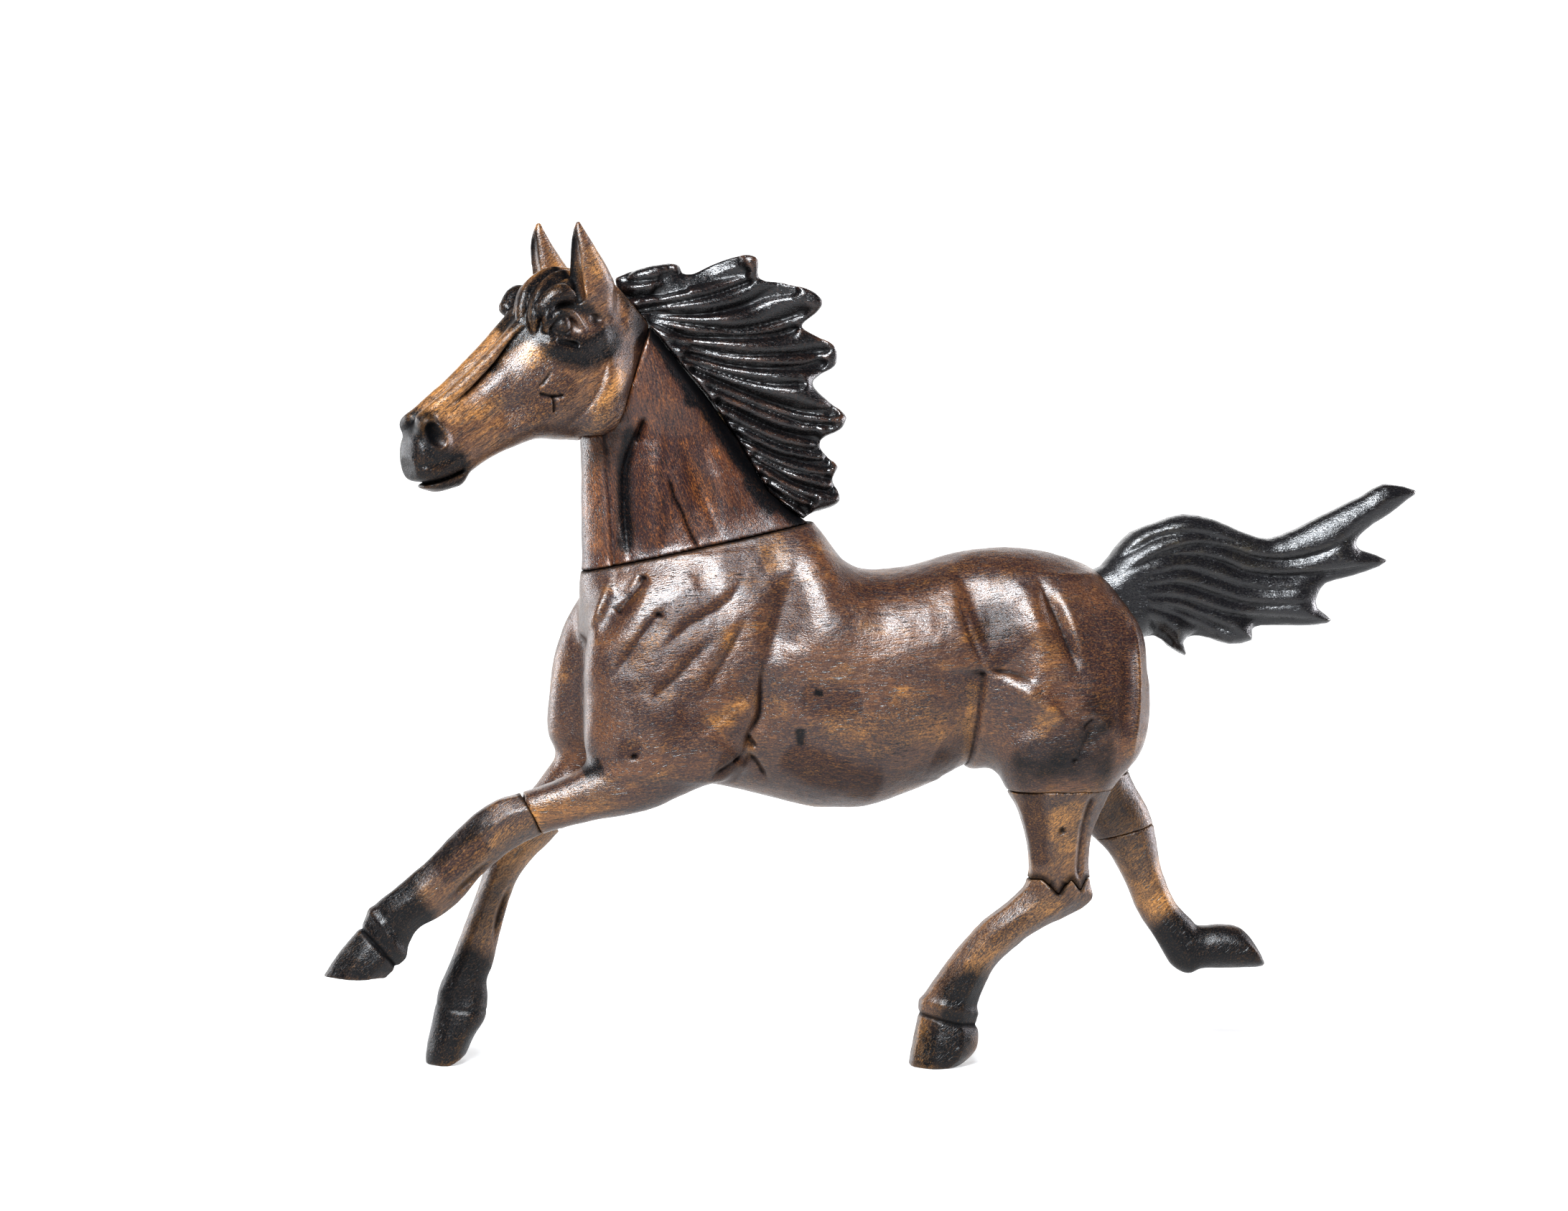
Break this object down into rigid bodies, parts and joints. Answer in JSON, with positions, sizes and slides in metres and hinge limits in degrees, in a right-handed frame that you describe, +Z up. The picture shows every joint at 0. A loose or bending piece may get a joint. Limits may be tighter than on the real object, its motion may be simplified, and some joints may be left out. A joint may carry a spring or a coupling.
{
  "type": "horse figurine",
  "caption": "Carved wooden galloping horse with head turned, black windblown mane and tail, standing on one hind hoof and the toe of the opposite fore hoof.",
  "frame": {"origin": "on the floor, under the middle of the bounding box", "axes": "+Z up, -X the way the horse gallops, -Y its left side, the side its head turns to"},
  "size_m": [0.308, 0.0658, 0.2344],
  "materials": {
    "body_wood": "brown stained and waxed, dark smudges, semi-gloss",
    "neck_wood": "brown stained and waxed, grain up the neck, semi-gloss",
    "head_wood": "brown stained, blackened muzzle and eyes, semi-gloss",
    "leg_wood": "golden brown stained, blackened hooves, satin",
    "mane_wood": "dyed black, worn brown on the ridges, glossy wax",
    "tail_wood": "dyed charcoal black, satin wax",
    "peg_wood": "plain unfinished dowel, matt"
  },
  "bodies": {
    "root": {"torso": "body_wood", "neck": "neck_wood", "head": "head_wood", "mane": "mane_wood", "tail": "tail_wood", "near_foreleg": "leg_wood", "off_foreleg": "leg_wood", "near_hind_gaskin": "leg_wood", "near_hind_cannon": "leg_wood", "off_hind_gaskin": "leg_wood", "off_hind_cannon": "leg_wood", "neck_dowel_front": "peg_wood", "neck_dowel_rear": "peg_wood", "head_dowel": "peg_wood", "tail_dowel": "peg_wood", "near_foreleg_dowel": "peg_wood", "off_foreleg_dowel": "peg_wood", "near_stifle_dowel": "peg_wood", "off_stifle_dowel": "peg_wood", "near_hock_dowel": "peg_wood", "off_hock_dowel": "peg_wood", "mane_peg_upper": "peg_wood", "mane_peg_lower": "peg_wood"}
  },
  "joints": []
}
